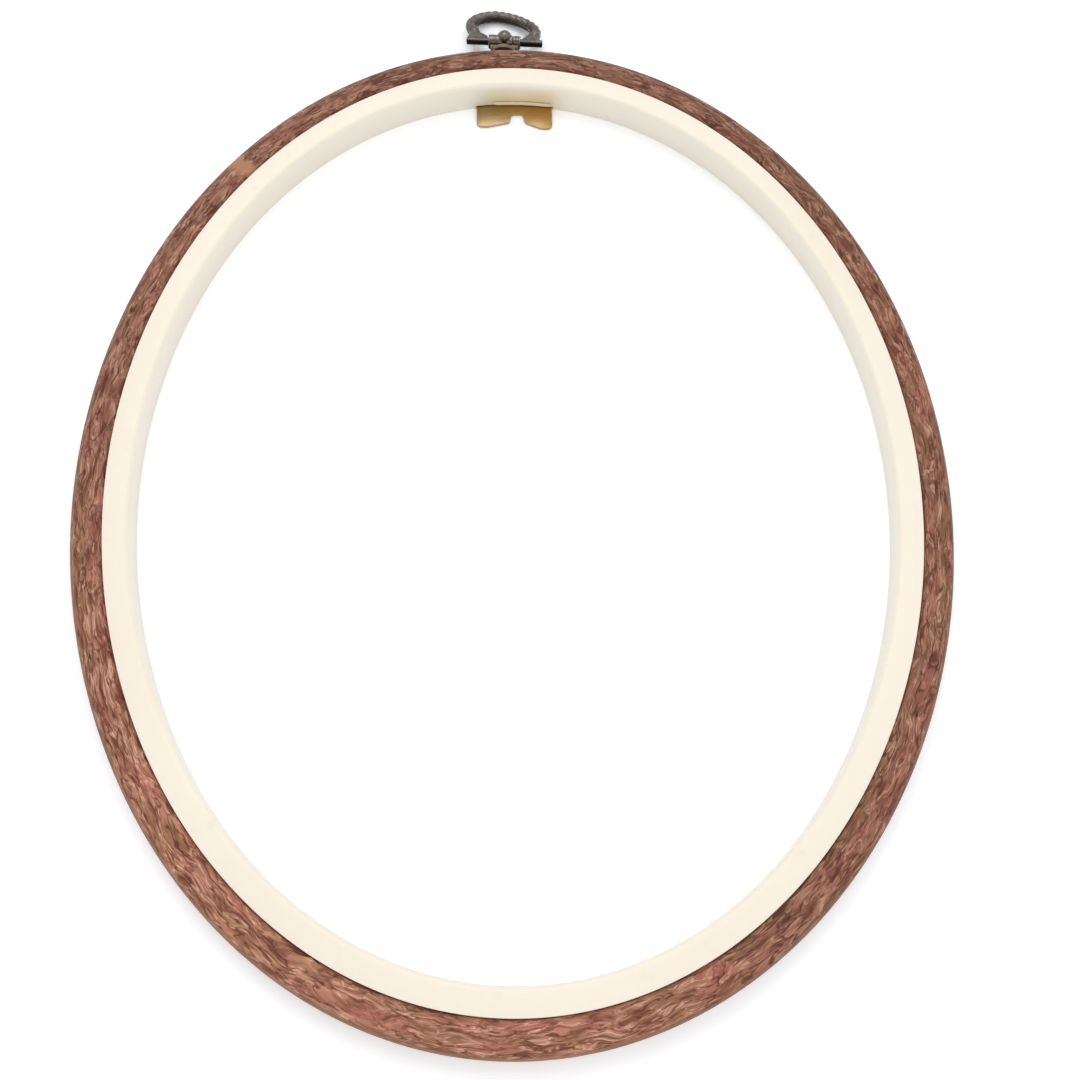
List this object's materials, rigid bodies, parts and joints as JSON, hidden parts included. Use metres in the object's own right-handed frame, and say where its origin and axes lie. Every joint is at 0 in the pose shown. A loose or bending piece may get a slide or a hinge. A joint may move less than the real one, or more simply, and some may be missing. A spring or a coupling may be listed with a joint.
{
  "type": "embroidery hoop",
  "caption": "Oval screwless embroidery hoop: cream inner ring, flexible half-round wood-grain outer ring, swinging bronze D loop on a post at the top, notched nail plate at the back.",
  "frame": {"origin": "on the surface that the hoop lies on, at the middle of the space that the hoop and its loop take", "axes": "+Z out of the hoop's front face, +Y along its long axis towards the hanger, +X to the right as seen from the front"},
  "size_m": [0.206, 0.2712, 0.0101],
  "materials": {
    "cream_plastic": "satin moulded",
    "wood_grain_vinyl": "satin, reddish-brown burl grain",
    "antique_bronze": "antique, rubbed bright on the high places",
    "washer_bronze": "antique, a little lighter than the post",
    "washer_steel": "plain",
    "gilt_plate": "satin gilt"
  },
  "bodies": {
    "inner": {"inner_ring": "cream_plastic", "nail_plate": "gilt_plate", "plate_pin_left": "gilt_plate", "plate_pin_right": "gilt_plate"},
    "outer": {"outer_ring": "wood_grain_vinyl", "hanger_post": "antique_bronze", "cup_washer": "washer_bronze", "back_washer": "washer_steel"},
    "loop": {"hanger_loop": "antique_bronze"}
  },
  "joints": [
    {"name": "outer_lift", "type": "slide", "parent": "inner", "child": "outer", "axis": [0, 0, 1], "range_m": [0, 0.02]},
    {"name": "loop_swing", "type": "hinge", "parent": "outer", "child": "loop", "pos_m": [-0.00268, 0.12142, 0.00465], "axis": [0.9992, -0.0405, 0], "range_deg": [-116, 147]}
  ]
}
